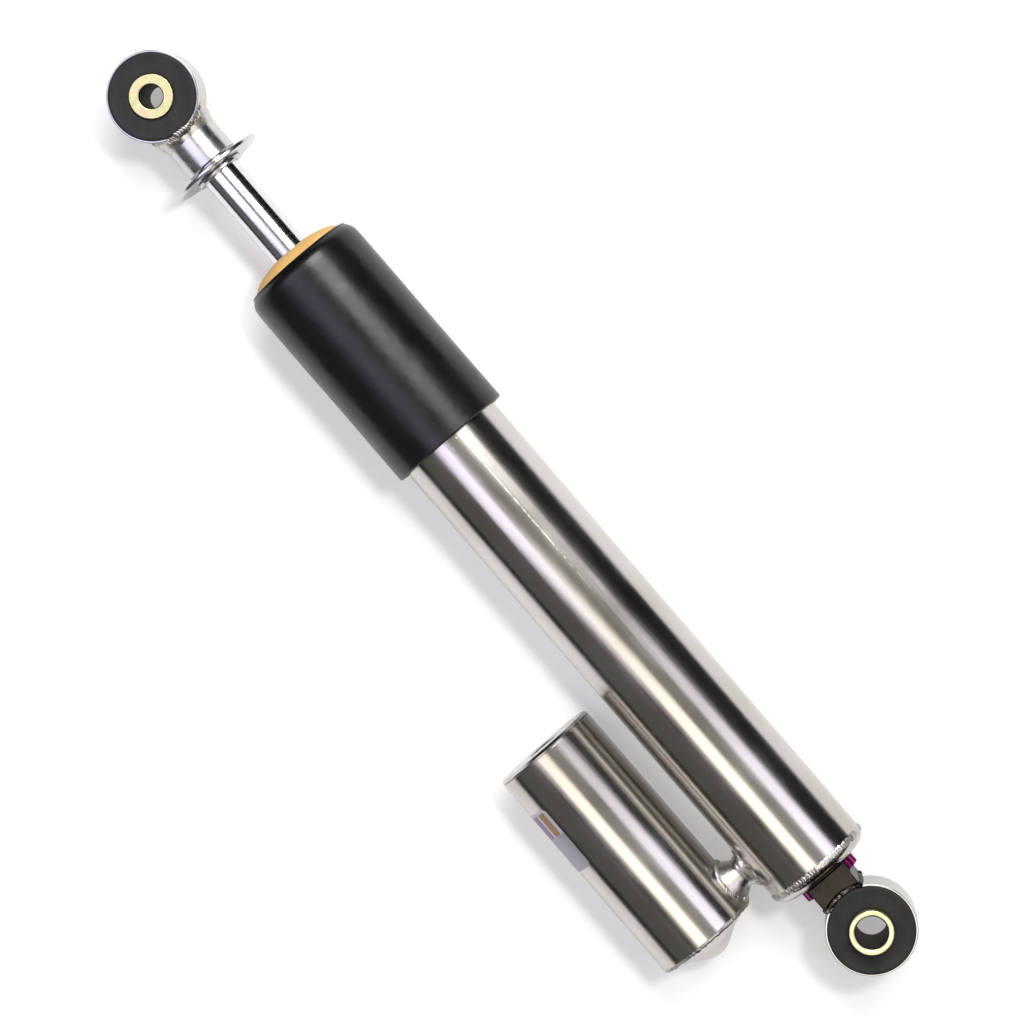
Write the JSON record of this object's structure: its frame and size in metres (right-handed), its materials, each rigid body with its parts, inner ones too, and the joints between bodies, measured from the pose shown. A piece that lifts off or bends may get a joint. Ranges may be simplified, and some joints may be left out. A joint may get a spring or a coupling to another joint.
{
  "type": "rear shock absorber",
  "caption": "Gas-charged monotube damper with a side reservoir, rubber-bushed eyes, chromed rod, bump stop in a dust cover and a foot adjuster wheel.",
  "frame": {"origin": "middle of the underside of the whole object's box, with the dust cover and the reservoir resting on Z = 0", "axes": "+X along the damper from the rod eye to the body eye, +Z along both eye bores, -Y towards the reservoir"},
  "size_m": [0.525, 0.113, 0.058],
  "materials": {
    "polished_steel": "turned and polished steel, bright",
    "satin_steel": "bare drawn steel tube, polished along its length",
    "chromed_rod": "hard chrome, ground",
    "gunmetal_steel": "dark blued steel, satin",
    "zinc_steel": "yellow passivated zinc over turned steel",
    "bush_rubber": "moulded rubber, matte",
    "seal_rubber": "nitrile rubber, matte",
    "black_plastic": "moulded polypropylene, satin",
    "tan_urethane": "cellular polyurethane, matte skin",
    "purple_anodised_aluminium": "purple anodised, knurled",
    "aluminium": "turned",
    "bronze_filled_ptfe": "matte",
    "spring_steel": "ground",
    "brass": "turned",
    "label_foil": "silver polyester label, plain"
  },
  "bodies": {
    "damper_body": {"body_tube": "satin_steel", "guide_circlip": "spring_steel", "gland_cap": "aluminium", "wiper_seal": "seal_rubber", "rod_guide": "aluminium", "rod_seal": "seal_rubber", "guide_bush": "bronze_filled_ptfe", "guide_oring": "seal_rubber", "base_valve_bolt": "spring_steel", "base_valve_disc": "aluminium", "base_valve_shims": "spring_steel", "base_cap": "satin_steel", "detent_ball": "spring_steel", "detent_spring": "spring_steel", "adjuster_housing": "gunmetal_steel", "lower_eye_ring": "polished_steel", "lower_bush_rubber": "bush_rubber", "bridge_neck": "satin_steel", "reservoir_tube": "satin_steel", "reservoir_end_cap": "satin_steel", "end_cap_oring": "seal_rubber", "gas_valve": "brass", "gas_valve_cap": "black_plastic", "reservoir_base": "satin_steel", "foil_label": "label_foil"},
    "rod": {"piston_rod": "chromed_rod", "upper_eye_ring": "polished_steel", "upper_bush_rubber": "bush_rubber", "rod_end_collar": "polished_steel", "bump_washer": "polished_steel", "washer_stop_ring": "polished_steel", "top_out_bumper": "seal_rubber", "compression_shims": "spring_steel", "piston": "aluminium", "piston_band": "bronze_filled_ptfe", "rebound_shims": "spring_steel", "piston_nut": "spring_steel"},
    "cover": {"dust_cover": "black_plastic", "bump_stop": "tan_urethane"},
    "upper_sleeve": {"upper_bush_sleeve": "zinc_steel"},
    "lower_sleeve": {"lower_bush_sleeve": "zinc_steel"},
    "floating_piston": {"floating_piston": "aluminium", "floating_piston_oring": "seal_rubber"},
    "adjuster": {"adjuster_wheel": "purple_anodised_aluminium"},
    "needle": {"adjuster_needle": "brass", "needle_seal": "seal_rubber"}
  },
  "joints": [
    {"name": "rod_slide", "type": "slide", "parent": "damper_body", "child": "rod", "axis": [1, 0, 0], "range_m": [0, 0.112], "stiffness_N_per_m": 560, "springref_m": -0.45},
    {"name": "cover_slide", "type": "slide", "parent": "rod", "child": "cover", "axis": [1, 0, 0], "range_m": [-0.046, 0]},
    {"name": "floating_piston_slide", "type": "slide", "parent": "damper_body", "child": "floating_piston", "axis": [1, 0, 0], "range_m": [-0.0178, 0]},
    {"name": "upper_sleeve_twist", "type": "hinge", "parent": "rod", "child": "upper_sleeve", "pos_m": [-0.242, 0.02747, 0.029], "axis": [0, 0, 1], "range_deg": [-15, 15], "stiffness_Nm_per_rad": 40},
    {"name": "lower_sleeve_twist", "type": "hinge", "parent": "damper_body", "child": "lower_sleeve", "pos_m": [0.242, 0.02747, 0.029], "axis": [0, 0, 1], "range_deg": [-15, 15], "stiffness_Nm_per_rad": 60},
    {"name": "adjuster_turn", "type": "hinge", "parent": "damper_body", "child": "adjuster", "pos_m": [0.21345, 0.02747, 0.029], "axis": [1, 0, 0], "range_deg": [0, 600]},
    {"name": "needle_travel", "type": "slide", "parent": "adjuster", "child": "needle", "axis": [1, 0, 0], "range_m": [0, 0.0025]}
  ],
  "couplings": [
    {"joint": "cover_slide", "follows": "rod_slide", "ratio": -0.4107},
    {"joint": "floating_piston_slide", "follows": "rod_slide", "ratio": -0.15789},
    {"joint": "adjuster_turn", "follows": "needle_travel", "rad_per_m": 4188.8}
  ]
}
